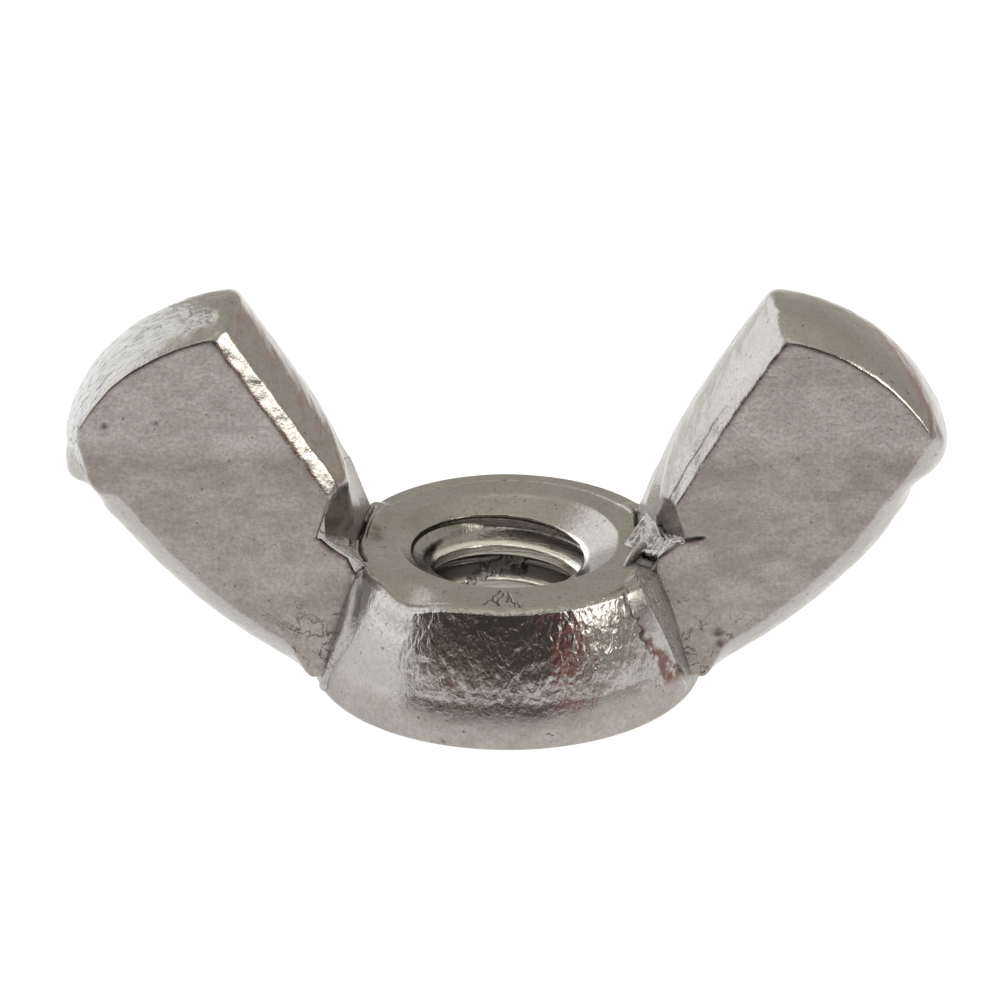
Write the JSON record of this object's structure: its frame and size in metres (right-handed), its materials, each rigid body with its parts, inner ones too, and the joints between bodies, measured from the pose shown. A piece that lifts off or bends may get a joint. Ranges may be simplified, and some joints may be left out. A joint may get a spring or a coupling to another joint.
{
  "type": "wing nut",
  "caption": "Forged wing nut: a tapered round hub with a countersunk threaded bore and two upswept blade wings with crowned edges, for tightening by hand.",
  "frame": {"origin": "centre of the hub's bearing face, on the thread axis", "axes": "+Z along the thread away from the bearing face, +X towards one wing tip, -Y towards the viewer's side of the flat wing faces"},
  "size_m": [0.0296, 0.013, 0.0136],
  "materials": {
    "hub_steel": "bare stainless, satin land and rim, bright wrinkled cone",
    "wing_steel": "bare stainless, matte forged faces, polished edges",
    "neck_steel": "bare stainless, folded and smeared metal"
  },
  "bodies": {
    "root": {"hub": "hub_steel", "neck_left": "neck_steel", "neck_right": "neck_steel", "wing_left": "wing_steel", "wing_right": "wing_steel"}
  },
  "joints": []
}
